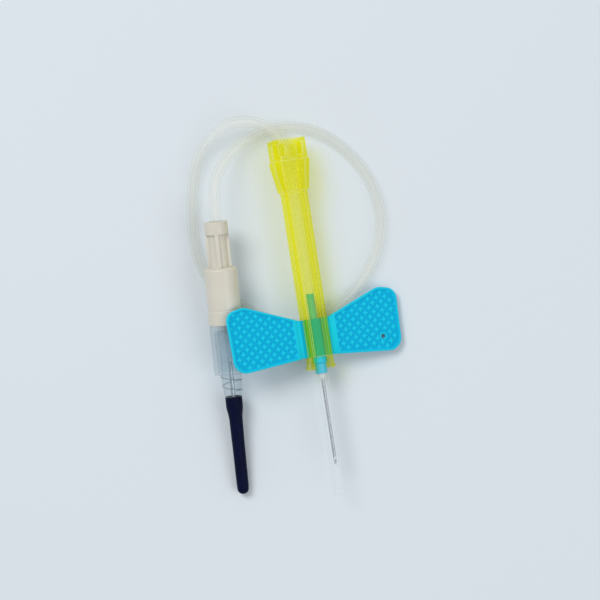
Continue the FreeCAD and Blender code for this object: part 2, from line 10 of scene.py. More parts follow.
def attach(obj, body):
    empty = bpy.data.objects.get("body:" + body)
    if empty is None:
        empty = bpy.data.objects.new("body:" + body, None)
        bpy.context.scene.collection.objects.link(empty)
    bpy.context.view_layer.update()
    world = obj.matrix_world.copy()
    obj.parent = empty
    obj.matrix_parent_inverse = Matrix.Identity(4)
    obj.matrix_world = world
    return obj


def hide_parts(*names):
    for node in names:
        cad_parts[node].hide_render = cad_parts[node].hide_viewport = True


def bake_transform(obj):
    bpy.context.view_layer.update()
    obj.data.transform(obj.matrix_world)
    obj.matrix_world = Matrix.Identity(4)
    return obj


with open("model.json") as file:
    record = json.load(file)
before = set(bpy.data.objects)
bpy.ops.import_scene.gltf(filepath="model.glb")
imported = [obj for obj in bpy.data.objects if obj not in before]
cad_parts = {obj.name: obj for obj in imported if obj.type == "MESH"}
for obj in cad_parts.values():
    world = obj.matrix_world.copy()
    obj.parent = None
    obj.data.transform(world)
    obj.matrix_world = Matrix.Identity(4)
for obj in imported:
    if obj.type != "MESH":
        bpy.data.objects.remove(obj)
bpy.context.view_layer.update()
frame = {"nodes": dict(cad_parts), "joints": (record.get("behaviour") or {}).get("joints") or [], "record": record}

MM = 0.001
JOINTS = {joint["name"]: joint for joint in frame["joints"]}
MOUNTS = {mount["name"]: mount for mount in frame["record"]["mounts"]}

# Where things are. Stations are millimetres along Y in a frame of the part's own, the needle's or the luer's.
PIVOT_STATION = 0.3
SLEEVE_STATION = 46.76


def axes(origin, x, y, z):
    """A frame whose own coordinates are millimetres."""
    turn = Matrix((x, y, z)).transposed().to_4x4()
    return Matrix.Translation(origin) @ turn @ Matrix.Scale(MM, 4)


def needle_axes():
    """The needle's frame: X along the wings, Y from the point to the hub, Z out of the wings."""
    left = Vector(JOINTS["left_wing_fold"]["pos_m"])
    right = Vector(JOINTS["right_wing_fold"]["pos_m"])
    x = (right - left).normalized()
    y = Vector((0.0, 1.0, 0.0))
    return axes((left + right) / 2 - y * PIVOT_STATION * MM, x, y, x.cross(y))


def luer_axes():
    """The luer pieces' frame: Y from the tube's entry towards the rear needle."""
    y = Vector(JOINTS["adapter_pull_off"]["axis"]).normalized()
    x = y.cross(Vector((0.0, 0.0, 1.0))).normalized()
    origin = Vector(MOUNTS["rear_needle_sleeve"]["pos_m"]) - y * SLEEVE_STATION * MM
    return axes(origin, x, y, x.cross(y))


NEEDLE = needle_axes()
LUER = luer_axes()


# Node building
class Socket:
    """A node's output. Arithmetic on it adds Math nodes."""

    def __init__(self, tree, output):
        self.tree = tree
        self.output = output

    def math(self, operation, *values):
        return self.tree.node("ShaderNodeMath", {"operation": operation}, dict(enumerate(values)))

    def __add__(self, other):
        return self.math("ADD", self, other)

    def __sub__(self, other):
        return self.math("SUBTRACT", self, other)

    def __mul__(self, other):
        return self.math("MULTIPLY", self, other)

    def __truediv__(self, other):
        return self.math("DIVIDE", self, other)

    def __pow__(self, other):
        return self.math("POWER", self, other)

    def __gt__(self, other):
        return self.math("GREATER_THAN", self, other)

    def __lt__(self, other):
        return self.math("LESS_THAN", self, other)

    def __rsub__(self, other):
        return self.math("SUBTRACT", other, self)

    def __rtruediv__(self, other):
        return self.math("DIVIDE", other, self)

    __radd__ = __add__
    __rmul__ = __mul__

    def clamped(self):
        return self.math("MAXIMUM", self.math("MINIMUM", self, 1.0), 0.0)


class Tree:
    """Builds a node tree: one method makes any node from its settings and its sockets' values or links."""

    def __init__(self, tree):
        self.tree = tree
        tree.nodes.clear()

    def node(self, kind, settings=None, sockets=None, out=0):
        made = self.tree.nodes.new(kind)
        for name, value in (settings or {}).items():
            setattr(made, name, value)
        for name, value in (sockets or {}).items():
            if isinstance(value, Socket):
                self.tree.links.new(value.output, made.inputs[name])
            else:
                made.inputs[name].default_value = value
        return Socket(self, made.outputs[out]) if len(made.outputs) else None


def srgb(red, green, blue):
    """A screen colour, 0 to 255, as the linear colour that a shader takes."""
    def linear(value):
        value /= 255
        return value / 12.92 if value <= 0.04045 else ((value + 0.055) / 1.055) ** 2.4

    return (linear(red), linear(green), linear(blue), 1.0)


class Finish(Tree):
    """A material on Object coordinates."""

    def __init__(self, name):
        self.material = bpy.data.materials.new(name)
        self.material.use_nodes = True
        super().__init__(self.material.node_tree)
        self.place = self.node("ShaderNodeTexCoord", out="Object")

    def noise(self, scale, detail=3.0, stretch=None):
        """Fractal noise from 0 to 1; the scale is in bumps to the metre."""
        place = self.place
        if stretch:
            place = self.node("ShaderNodeMapping", {}, {"Vector": place, "Scale": stretch})
        return self.node("ShaderNodeTexNoise", {}, {"Vector": place, "Scale": scale, "Detail": detail})

    def blend(self, factor, first, second):
        """A colour between two colours."""
        return self.node("ShaderNodeMix", {"data_type": "RGBA"}, {0: factor, 6: first, 7: second}, out=2)

    def bump(self, height, distance):
        """A bumped normal; the distance is in metres."""
        return self.node("ShaderNodeBump", {}, {"Height": height, "Distance": distance, "Strength": 1.0})

    def carried(self, name):
        """An attribute that the mesh carries."""
        return self.node("ShaderNodeAttribute", {"attribute_name": name}, out="Fac")

    def facing(self, blend):
        return self.node("ShaderNodeLayerWeight", {}, {"Blend": blend}, out="Facing")

    def surface(self, **sockets):
        """A Principled surface."""
        named = {name.replace("_", " "): value for name, value in sockets.items()}
        return self.node("ShaderNodeBsdfPrincipled", {}, named)

    def see_through(self, colour):
        return self.node("ShaderNodeBsdfTransparent", {}, {"Color": colour})

    def mixed(self, factor, first, second):
        return self.node("ShaderNodeMixShader", {}, {0: factor, 1: first, 2: second})

    def done(self, shader):
        self.node("ShaderNodeOutputMaterial", {}, {"Surface": shader})
        return self.material


# Finishes
def wing_vinyl():
    """Soft blue vinyl with a fine moulded grain: painted highlight on the stud crests and rounded edges, painted
    shade between the studs and in the sunk field, and a painted sheen where it is seen edge on.
    """
    f = Finish("wing_vinyl")
    # Painted light that the mesh carries: 1 is painted highlight, 0 is painted shade.
    painted_light = f.carried("painted_light")
    cloud = f.noise(180.0, 2.0)
    grain = f.noise(5200.0, 2.0)
    base = f.blend((cloud - 0.3) * 0.9, srgb(0, 170, 216), srgb(0, 182, 226))
    base = f.blend(painted_light.clamped(), base, srgb(26, 216, 242))
    # Painted sheen: lighter where the surface is seen edge on.
    edge = f.facing(0.25)
    base = f.blend(edge * 0.4, base, srgb(70, 205, 240))
    return f.done(
        f.surface(
            Base_Color=base,
            Roughness=0.5 + grain * 0.14,
            Specular_IOR_Level=0.08,
            Normal=f.bump(grain, 0.000012),
        )
    )


def hub_resin():
    """Rigid light-blue resin, slightly cloudy."""
    f = Finish("hub_resin")
    cloud = f.noise(420.0, 3.0)
    return f.done(
        f.surface(
            Base_Color=f.blend(cloud, srgb(16, 186, 218), srgb(44, 202, 230)),
            Roughness=0.28 + cloud * 0.12,
            Specular_IOR_Level=0.3,
        )
    )


def shield_resin():
    """Yellow see-through resin, deeper where the wall is thick or seen edge on, with painted highlights on its
    rounded edges.
    """
    f = Finish("shield_resin")
    flow = f.noise(260.0, 3.0, stretch=(1.0, 0.12, 1.0))
    grain = f.noise(3600.0, 2.0)
    depth = f.carried("depth")
    # Painted highlight: the rounded edges turn paler and less see-through.
    edge = f.carried("edge")
    steep = f.facing(0.5)
    wall = f.blend((depth * 0.7 + steep * 0.3).clamped(), srgb(255, 250, 90), srgb(244, 236, 0))
    body = f.surface(
        Base_Color=f.blend(edge * 0.8, wall, srgb(255, 252, 170)),
        Roughness=0.14 + grain * 0.1,
        Coat_Weight=0.6,
        Coat_Roughness=0.05,
        Normal=f.bump(flow, 0.00001),
    )
    thin = f.see_through((1.0, 1.0, 0.8, 1.0))
    deep = f.see_through((1.0, 0.975, 0.14, 1.0))
    tint = f.mixed((depth + steep * 0.2).clamped(), thin, deep)
    haze = 0.01 + flow * 0.012 + depth * 0.035 + steep * 0.07 + edge * 0.3
    return f.done(f.mixed(haze.clamped(), tint, body))


def needle_steel():
    """Drawn and ground steel with fine marks round the axis."""
    f = Finish("needle_steel")
    drawn = f.noise(9000.0, 2.0, stretch=(0.2, 1.0, 0.2))
    return f.done(
        f.surface(
            Base_Color=f.blend(drawn, srgb(140, 147, 154), srgb(184, 189, 194)),
            Metallic=1.0,
            Roughness=0.2 + drawn * 0.18,
            Normal=f.bump(drawn, 0.000004),
        )
    )


def milky_bead():
    """Cured milky adhesive."""
    f = Finish("milky_bead")
    cloud = f.noise(1500.0, 3.0)
    body = f.surface(
        Base_Color=f.blend(cloud, srgb(222, 230, 228), srgb(240, 244, 242)),
        Roughness=0.12 + cloud * 0.1,
        Coat_Weight=0.5,
    )
    return f.done(f.mixed(0.72 + cloud * 0.2, f.see_through((0.9, 0.94, 0.94, 1.0)), body))


def clear(name, tint, haze, edge, base_haze, rim, flow_scale):
    """Clear plastic: it lets the light through face on, turns to the edge colour, a painted reflection, where it
    is seen steeply, and is darker where the mesh carries painted shade.
    """
    f = Finish(name)
    flow = f.noise(flow_scale, 2.0, stretch=(1.0, 0.2, 1.0))
    # Painted shade: darker and less see-through where the mesh carries it, on the adapter's thread.
    painted_shade = f.carried("painted_shade")
    # Painted reflection: the edge colour where the plastic is seen steeply.
    steep = f.facing(0.3)
    body = f.surface(
        Base_Color=f.blend(painted_shade, f.blend(steep, haze, edge), srgb(58, 76, 104)),
        Roughness=0.12 + flow * 0.08,
        Coat_Weight=0.5,
        Coat_Roughness=0.1,
        Normal=f.bump(flow, 0.000005),
    )
    factor = base_haze + flow * 0.05 + (steep**2.0) * rim * (1.0 - painted_shade * 0.7) + painted_shade * 0.09
    return f.done(f.mixed(factor.clamped(), f.see_through(tint), body))


def ivory_resin():
    """Ivory resin, painted lighter where it is seen edge on, a painted sheen, with a soft moulded grain."""
    f = Finish("ivory_resin")
    cloud = f.noise(160.0, 3.0)
    grain = f.noise(4200.0, 2.0)
    # Painted sheen where the surface is seen edge on.
    edge = f.facing(0.3)
    base = f.blend(cloud, srgb(206, 202, 188), srgb(218, 214, 202))
    return f.done(
        f.surface(
            Base_Color=f.blend(edge * 0.4, base, srgb(228, 225, 214)),
            Roughness=0.3 + grain * 0.14,
            Normal=f.bump(grain, 0.00001),
        )
    )


def sleeve_rubber():
    """Blue-black rubber with a dusty bloom."""
    f = Finish("sleeve_rubber")
    bloom = f.noise(700.0, 4.0, stretch=(1.0, 0.4, 1.0))
    grain = f.noise(6500.0, 2.0)
    return f.done(
        f.surface(
            Base_Color=f.blend(bloom, srgb(0, 3, 26), srgb(4, 12, 50)),
            Roughness=0.42 + grain * 0.2,
            Specular_IOR_Level=0.07,
            Normal=f.bump(grain, 0.000014),
        )
    )


WING = wing_vinyl()
HUB = hub_resin()
SHIELD = shield_resin()
STEEL = needle_steel()
BEAD = milky_bead()
COVER = clear(
    "clear_cover",
    tint=(0.992, 0.995, 0.995, 1.0),
    haze=srgb(236, 242, 246),
    edge=srgb(206, 216, 224),
    base_haze=0.01,
    rim=0.24,
    flow_scale=300.0,
)
ADAPTER = clear(
    "clear_adapter",
    tint=(0.935, 0.958, 0.968, 1.0),
    haze=srgb(200, 214, 224),
    edge=srgb(122, 144, 160),
    base_haze=0.05,
    rim=0.5,
    flow_scale=240.0,
)
TUBE = clear(
    "clear_tube",
    tint=(0.992, 0.992, 0.984, 1.0),
    haze=srgb(242, 242, 236),
    edge=srgb(224, 223, 213),
    base_haze=0.04,
    rim=0.3,
    flow_scale=120.0,
)
IVORY = ivory_resin()
RUBBER = sleeve_rubber()


# Mesh helpers
SHARP_ANGLE = math.radians(35)
SOFT_ANGLE = math.radians(50)
FLAT_ANGLE = math.radians(2)
BEVEL_ANGLE = math.radians(28)
BEVEL_STEPS = 3
MERGE_DISTANCE = 2e-6
AXIS_RADIUS = 1e-6
CORNER_SHARE = 0.45


def finished(piece, body, nodes, material):
    """Gives a piece its body and the nodes it stands for; a blended piece has no body."""
    piece.data.materials.clear()
    piece.data.materials.append(material)
    if body:
        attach(piece, body)
    if nodes:
        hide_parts(*nodes)


def from_bmesh(name, mesh, place, sharp=SHARP_ANGLE):
    """An object of this mesh, placed through its vertices, with its faces turned outwards."""
    bmesh.ops.recalc_face_normals(mesh, faces=mesh.faces)
    data = bpy.data.meshes.new(name)
    mesh.to_mesh(data)
    mesh.free()
    data.transform(place)
    data.polygons.foreach_set("use_smooth", [True] * len(data.polygons))
    data.set_sharp_from_angle(angle=sharp)
    piece = bpy.data.objects.new(name, data)
    bpy.context.scene.collection.objects.link(piece)
    return piece


def eased(points, radius, steps):
    """The closed outline with its corners rounded; a corner may carry its own radius as a third number."""
    out = []
    count = len(points)
    for i, point in enumerate(points):
        size = point[2] if len(point) > 2 else radius
        here = Vector(point[:2])
        before = Vector(points[i - 1][:2]) - here
        after = Vector(points[(i + 1) % count][:2]) - here
        reach = min(size, before.length * CORNER_SHARE, after.length * CORNER_SHARE)
        start, end = here + before.normalized() * reach, here + after.normalized() * reach
        for step in range(steps + 1):
            t = step / steps
            out.append(start * (1 - t) ** 2 + here * 2 * t * (1 - t) + end * t**2)
    return out


def turned(name, profile, place, radius=0.1, segments=72, steps=3):
    """A turned form about Y from a closed outline of (radius, station) points, with its corners rounded.

    A point on the axis becomes a pole.
    """
    mesh = bmesh.new()
    rings = []
    for r, y in eased(profile, radius, steps):
        if r < AXIS_RADIUS:
            rings.append([mesh.verts.new((0, y, 0))])
            continue
        ring = []
        for i in range(segments):
            angle = math.tau * i / segments
            ring.append(mesh.verts.new((r * math.cos(angle), y, r * math.sin(angle))))
        rings.append(ring)
    for first, second in zip(rings, rings[1:] + rings[:1]):
        if len(first) == 1 and len(second) == 1:
            continue
        for i in range(segments):
            j = (i + 1) % segments
            a, b = len(first), len(second)
            corners = [first[i % a], first[j % a], second[j % b], second[i % b]]
            unique = list(dict.fromkeys(corners))
            if len(unique) > 2:
                mesh.faces.new(unique)
    return from_bmesh(name, mesh, place)


def softened(name, node, width, place=None, reshape=None, cuts=()):
    """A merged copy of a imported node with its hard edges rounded; the rounding carries the attribute "edge".

    Reshape moves a point, and cuts are (point, direction) planes that split the faces, all in the place's
    millimetres.
    """
    mesh = bmesh.new()
    mesh.from_mesh(frame["nodes"][node].data)
    bmesh.ops.remove_doubles(mesh, verts=mesh.verts, dist=MERGE_DISTANCE)
    bmesh.ops.dissolve_limit(mesh, angle_limit=FLAT_ANGLE, verts=mesh.verts, edges=mesh.edges)
    if reshape:
        back = place.inverted()
        for vertex in mesh.verts:
            vertex.co = place @ reshape(back @ vertex.co)
    piece = from_bmesh(name, mesh, Matrix.Identity(4))
    for _ in range(2):
        piece.data.materials.append(None)
    bevel = piece.modifiers.new("edges", "BEVEL")
    bevel.width = width * MM
    bevel.segments = BEVEL_STEPS
    bevel.limit_method = "ANGLE"
    bevel.angle_limit = BEVEL_ANGLE
    bevel.material = 1
    applied(piece)
    data = piece.data
    edge = data.attributes.new("edge", "FLOAT", "FACE")
    edge.data.foreach_set("value", [float(face.material_index) for face in data.polygons])
    data.polygons.foreach_set("use_smooth", [face.material_index > 0 for face in data.polygons])
    data.polygons.foreach_set("material_index", [0] * len(data.polygons))
    if cuts:
        split(data, cuts, place)
    return piece


def split(data, cuts, place):
    """Cuts a mesh's faces along planes, without opening it."""
    mesh = bmesh.new()
    mesh.from_mesh(data)
    for point, direction in cuts:
        bmesh.ops.bisect_plane(
            mesh,
            geom=[*mesh.verts, *mesh.edges, *mesh.faces],
            dist=1e-7,
            plane_co=place @ Vector(point),
            plane_no=(place.to_3x3() @ Vector(direction)).normalized(),
        )
    mesh.to_mesh(data)
    mesh.free()


SLANT_LIMIT = 0.35
THIN_WALL = 0.4
DEPTH_RATE = 2.6
RAY_START = 1e-5


def wall_depth(piece, place, full):
    """Stores how deep the wall is behind each face, along the place's X or Z, as a value from 0 to 1.

    Full is the depth in millimetres at which the value is near 1.
    """
    data = piece.data
    wall = BVHTree.FromPolygons([v.co for v in data.vertices], [face.vertices for face in data.polygons])
    across = [place.to_3x3() @ Vector(axis) / MM for axis in ((1.0, 0.0, 0.0), (0.0, 0.0, 1.0))]
    depths = []
    for face in data.polygons:
        reach = 0.0
        for axis in across:
            turn = face.normal.dot(axis)
            if abs(turn) > SLANT_LIMIT:
                inward = axis * (-1.0 if turn > 0 else 1.0)
                hit = wall.ray_cast(face.center + inward * RAY_START, inward)
                reach = max(reach, (hit[3] or 0.0) / MM)
        depths.append(1.0 - math.exp(-DEPTH_RATE * max(reach - THIN_WALL, 0.0) / full))
    data.attributes.new("depth", "FLOAT", "FACE").data.foreach_set("value", depths)


def applied(piece):
    """The piece as its modifiers leave it, as a plain mesh."""
    result = bpy.data.meshes.new_from_object(piece.evaluated_get(bpy.context.evaluated_depsgraph_get()))
    piece.modifiers.clear()
    piece.data = result
    result.polygons.foreach_set("use_smooth", [True] * len(result.polygons))
    result.set_sharp_from_angle(angle=SHARP_ANGLE)
    return piece


def joined(pieces):
    """Several objects made into the first one."""
    with bpy.context.temp_override(active_object=pieces[0], selected_editable_objects=pieces):
        bpy.ops.object.join()
    return pieces[0]


# Geometry node trees
class Pattern(Tree):
    """A Geometry Nodes tree with named inputs."""

    def __init__(self, name, inputs):
        group = bpy.data.node_groups.new(name, "GeometryNodeTree")
        super().__init__(group)
        self.group = group
        group.is_modifier = True
        group.interface.new_socket("Geometry", in_out="INPUT", socket_type="NodeSocketGeometry")
        for label, kind in inputs.items():
            group.interface.new_socket(label, in_out="INPUT", socket_type=kind)
        group.interface.new_socket("Geometry", in_out="OUTPUT", socket_type="NodeSocketGeometry")
        self.entry = group.nodes.new("NodeGroupInput")

    def given(self, label):
        return Socket(self, self.entry.outputs[label])

    def finish(self, geometry):
        """Instances become mesh and take their material."""
        real = self.node("GeometryNodeRealizeInstances", {}, {0: geometry})
        dressed = self.node("GeometryNodeSetMaterial", {}, {0: real, "Material": self.given("Finish")})
        end = self.group.nodes.new("NodeGroupOutput")
        self.group.links.new(dressed.output, end.inputs[0])
        return self.group

    def vector(self, x, y, z):
        return self.node("ShaderNodeCombineXYZ", {}, {0: x, 1: y, 2: z})

    def parts(self, vector):
        return [self.node("ShaderNodeSeparateXYZ", {}, {0: vector}, out=i) for i in range(3)]


def grown(base, group, values):
    """The base object's mesh as this tree leaves it with these values, as a plain mesh."""
    modifier = base.modifiers.new(group.name, "NODES")
    modifier.node_group = group
    for item in group.interface.items_tree:
        if item.item_type == "SOCKET" and item.in_out == "INPUT" and item.name in values:
            modifier[item.identifier] = values[item.name]
    return applied(base)


# The studs' lattice is laid this many stud heights above the face. A stud starts as a star of eight points.
LIFT = 8.0
STAR_POINTS = 8


def stud_tree():
    """Four-armed studs in staggered rows over the input face.

    A stud near the face's outline is smaller, so that its arms reach past the outline by the Edge at most.
    There are none within the Bare Radius of the Bare Spot.
    """
    tree = Pattern(
        "stud_rows",
        {
            "Pitch": "NodeSocketFloat",
            "Arm": "NodeSocketFloat",
            "Waist": "NodeSocketFloat",
            "Height": "NodeSocketFloat",
            "Extent": "NodeSocketFloat",
            "Seat": "NodeSocketFloat",
            "Edge": "NodeSocketFloat",
            "Bare Spot": "NodeSocketVector",
            "Bare Radius": "NodeSocketFloat",
            "Finish": "NodeSocketMaterial",
        },
    )
    pitch, arm, height, extent = (tree.given(label) for label in ("Pitch", "Arm", "Height", "Extent"))
    steps = extent.math("ROUND", extent / pitch * 2.0)
    count = steps + 1.0
    side = steps * pitch
    rows = []
    for shift in (0.0, 0.5):
        grid = tree.node(
            "GeometryNodeMeshGrid",
            {},
            {"Size X": side, "Size Y": side, "Vertices X": count, "Vertices Y": count},
        )
        move = tree.vector(pitch * shift, pitch * shift, height * LIFT)
        rows.append(tree.node("GeometryNodeTransform", {}, {"Geometry": grid, "Translation": move}))
    join = tree.group.nodes.new("GeometryNodeJoinGeometry")
    for row in rows:
        tree.group.links.new(row.output, join.inputs[0])
    lattice = tree.node("GeometryNodeMeshToPoints", {}, {"Mesh": Socket(tree, join.outputs[0])})
    over = tree.node(
        "GeometryNodeRaycast",
        {},
        {
            "Target Geometry": tree.given("Geometry"),
            "Ray Direction": (0.0, 0.0, -1.0),
            "Ray Length": height * LIFT * 2.5,
        },
        out="Is Hit",
    )
    x, y, _ = tree.parts(tree.node("GeometryNodeInputPosition"))
    flat = tree.vector(x, y, 0.0)
    off = tree.node("FunctionNodeBooleanMath", {"operation": "NOT"}, {0: over})
    spot = tree.node(
        "ShaderNodeVectorMath", {"operation": "DISTANCE"}, {0: flat, 1: tree.given("Bare Spot")}, out="Value"
    )
    bare = tree.node(
        "FunctionNodeBooleanMath", {"operation": "OR"}, {0: off, 1: spot < tree.given("Bare Radius")}
    )
    kept = tree.node("GeometryNodeDeleteGeometry", {"domain": "POINT"}, {0: lattice, "Selection": bare})
    room = tree.node(
        "GeometryNodeProximity",
        {"target_element": "EDGES"},
        {0: tree.given("Geometry"), "Sample Position": flat},
        out="Distance",
    )
    size = ((room + tree.given("Edge")) / arm).clamped()
    star = tree.node(
        "GeometryNodeMeshCircle",
        {"fill_type": "TRIANGLE_FAN"},
        {"Vertices": STAR_POINTS, "Radius": arm},
    )
    here = tree.node("GeometryNodeInputPosition")
    x, y, _ = tree.parts(here)
    slant = x * y
    diagonal = slant.math("ABSOLUTE", slant) > arm * arm * 0.2
    reach = tree.node("ShaderNodeVectorMath", {"operation": "LENGTH"}, {0: here}, out="Value") / arm
    scale = 1.0 - diagonal * (1.0 - tree.given("Waist"))
    shaped = tree.node(
        "GeometryNodeSetPosition",
        {},
        {0: star, "Position": tree.vector(x * scale, y * scale, 1.0 - reach)},
    )
    fine = tree.node("GeometryNodeSubdivideMesh", {}, {"Mesh": shaped, "Level": 1})
    x, y, up = tree.parts(tree.node("GeometryNodeInputPosition"))
    dome = up.math("SINE", up * (math.pi / 2))
    # The dome's height is stored as painted light: painted highlight on the crests, painted shade at the feet.
    named = tree.node(
        "GeometryNodeStoreNamedAttribute",
        {"data_type": "FLOAT", "domain": "POINT"},
        {0: fine, "Name": "painted_light", "Value": dome},
    )
    raised = tree.node(
        "GeometryNodeSetPosition", {}, {0: named, "Position": tree.vector(x, y, dome * height)}
    )
    studs = tree.node(
        "GeometryNodeInstanceOnPoints",
        {},
        {"Points": kept, "Instance": raised, "Scale": tree.vector(size, size, size)},
    )
    drop = tree.vector(0.0, 0.0, tree.given("Seat") - height * LIFT)
    return tree.finish(tree.node("GeometryNodeTransform", {}, {"Geometry": studs, "Translation": drop}))


def round_axis(tree, part, count):
    """Copies of a part, evenly round the Y axis."""
    points = tree.node("GeometryNodePoints", {}, {"Count": count})
    index = tree.node("GeometryNodeInputIndex")
    turn = tree.vector(0.0, index * math.tau / count, 0.0)
    sockets = {"Points": points, "Instance": part, "Rotation": turn}
    return tree.node("GeometryNodeInstanceOnPoints", {}, sockets)


def thread_tree():
    """A tapered helical thread along Y."""
    tree = Pattern(
        "holder_thread",
        {
            "Turns": "NodeSocketFloat",
            "Start Radius": "NodeSocketFloat",
            "End Radius": "NodeSocketFloat",
            "Length": "NodeSocketFloat",
            "Crest": "NodeSocketFloat",
            "Starts": "NodeSocketInt",
            "Finish": "NodeSocketMaterial",
        },
    )
    spiral = tree.node(
        "GeometryNodeCurveSpiral",
        {},
        {
            "Resolution": 48,
            "Rotations": tree.given("Turns"),
            "Start Radius": tree.given("Start Radius"),
            "End Radius": tree.given("End Radius"),
            "Height": tree.given("Length"),
        },
    )
    ridge = tree.node(
        "GeometryNodeCurvePrimitiveCircle", {}, {"Resolution": 8, "Radius": tree.given("Crest")}
    )
    ribbon = tree.node(
        "GeometryNodeCurveToMesh", {}, {"Curve": spiral, "Profile Curve": ridge, "Fill Caps": True}
    )
    laid = tree.node(
        "GeometryNodeTransform", {}, {"Geometry": ribbon, "Rotation": (-math.pi / 2, 0.0, 0.0)}
    )
    return tree.finish(round_axis(tree, laid, tree.given("Starts")))


def fin_tree():
    """Copies of the input rib, evenly round the Y axis."""
    tree = Pattern("grip_fins", {"Count": "NodeSocketInt", "Finish": "NodeSocketMaterial"})
    return tree.finish(round_axis(tree, tree.given("Geometry"), tree.given("Count")))


# Camera, in millimetres
IMAGE_CENTRE = (-0.065, 3.81, 5.0)
IMAGE_UP = (0.1530, 0.9882)
VIEW_DISTANCE = 450.0
VIEW_WIDTH = 120.0
SENSOR = 36.0


def photo_camera():
    """A level camera straight above, turned as the photo is."""
    data = bpy.data.cameras.new("photo_camera")
    data.sensor_width = SENSOR
    data.lens = SENSOR * VIEW_DISTANCE / VIEW_WIDTH
    data.clip_start = 0.01
    data.clip_end = 10.0
    camera = bpy.data.objects.new("photo_camera", data)
    bpy.context.scene.collection.objects.link(camera)
    turn = -math.atan2(IMAGE_UP[0], IMAGE_UP[1])
    place = Vector(IMAGE_CENTRE) + Vector((0, 0, VIEW_DISTANCE))
    camera.matrix_world = Matrix.Translation(place * MM) @ Matrix.Rotation(turn, 4, "Z")
    bpy.context.scene.camera = camera


photo_camera()

# Tube, in millimetres apart from its length in metres. Its bore is stretched over the hub's spigot.
TUBE_RADIUS = 1.2
LUMEN = 0.62
STRETCHED_LUMEN = 0.82
SPIGOT_GRIP = 5.0
GRIP_END = 1.2
TUBE_SIDES = 24
NEEDLE_HEIGHT = 5.63
TUBE_ROUTE = [
    (0.0, 4.1, NEEDLE_HEIGHT),
    (0.0, 34.05, NEEDLE_HEIGHT),
    (0.0, 38.8, NEEDLE_HEIGHT),
    (-2.4, 42.9, 5.6),
    (-6.5, 45.3, 5.1),
    (-11.8, 45.3, 3.8),
    (-16.4, 42.2, 2.2),
    (-19.2, 37.4, 1.2),
    (-20.6, 31.0, 1.2),
    (-21.5, 24.2, 1.2),
    (-20.9, 17.6, 1.2),
    (-17.8, 12.3, 1.2),
    (-13.0, 7.7, 1.2),
    (-6.8, 4.0, 1.2),
    (-0.4, 3.1, 1.2),
    (5.6, 5.7, 1.2),
    (11.1, 10.0, 1.2),
    (15.0, 15.6, 1.2),
    (16.9, 22.6, 1.2),
    (15.7, 30.4, 1.2),
    (11.6, 37.2, 1.2),
    (6.0, 41.8, 1.2),
    (-0.2, 43.4, 1.2),
    (-5.8, 42.6, 1.2),
    (-10.6, 40.2, 3.0),
    (-14.2, 36.4, 6.2),
    (-15.9992, 31.7536, 8.4034),
    (-16.5685, 21.2414, 7.1666),
]
# The route starts at the surface, straight under the needle frame's origin
ROUTE_ORIGIN = NEEDLE @ Vector((0.0, 0.0, 0.0)) - Vector((0.0, 0.0, NEEDLE_HEIGHT)) * MM


def tube_line():
    """The points of the tube's smooth centreline."""
    curve = bpy.data.curves.new("tube_line", "CURVE")
    curve.dimensions = "3D"
    curve.resolution_u = 14
    spline = curve.splines.new("NURBS")
    spline.points.add(len(TUBE_ROUTE) - 1)
    for point, corner in zip(spline.points, TUBE_ROUTE):
        point.co = (*(ROUTE_ORIGIN + Vector(corner) * MM), 1.0)
    spline.order_u = 3
    spline.use_endpoint_u = True
    holder = bpy.data.objects.new("tube_line", curve)
    bpy.context.scene.collection.objects.link(holder)
    line = bpy.data.meshes.new_from_object(holder.evaluated_get(bpy.context.evaluated_depsgraph_get()))
    points = [vertex.co.copy() for vertex in line.vertices]
    bpy.data.objects.remove(holder)
    bpy.data.meshes.remove(line)
    return points


def tube():
    """The hollow tube: its bore is stretched over the hub's spigot and narrower after it."""
    points = tube_line()
    mesh = bmesh.new()
    side = Vector((1.0, 0.0, 0.0))
    travelled = 0.0
    outer, inner = [], []
    for i, point in enumerate(points):
        ahead = (points[min(i + 1, len(points) - 1)] - points[max(i - 1, 0)]).normalized()
        side = (side - ahead * side.dot(ahead)).normalized()
        up = ahead.cross(side)
        if i:
            travelled += (point - points[i - 1]).length / MM
        ease = min(max((travelled - SPIGOT_GRIP) / GRIP_END, 0.0), 1.0)
        bore = STRETCHED_LUMEN + (LUMEN - STRETCHED_LUMEN) * ease
        for rings, radius in ((outer, TUBE_RADIUS), (inner, bore)):
            ring = []
            for k in range(TUBE_SIDES):
                angle = math.tau * k / TUBE_SIDES
                offset = (side * math.cos(angle) + up * math.sin(angle)) * radius * MM
                ring.append(mesh.verts.new(point + offset))
            rings.append(ring)
    for rings in (outer, inner):
        for first, second in zip(rings, rings[1:]):
            for k in range(TUBE_SIDES):
                j = (k + 1) % TUBE_SIDES
                mesh.faces.new((first[k], first[j], second[j], second[k]))
    for a, b in ((outer[0], inner[0]), (outer[-1], inner[-1])):
        for k in range(TUBE_SIDES):
            j = (k + 1) % TUBE_SIDES
            mesh.faces.new((a[k], a[j], b[j], b[k]))
    piece = from_bmesh("clear_tube", mesh, Matrix.Identity(4), SOFT_ANGLE)
    finished(piece, "hub", ["tubing"], TUBE)


tube()

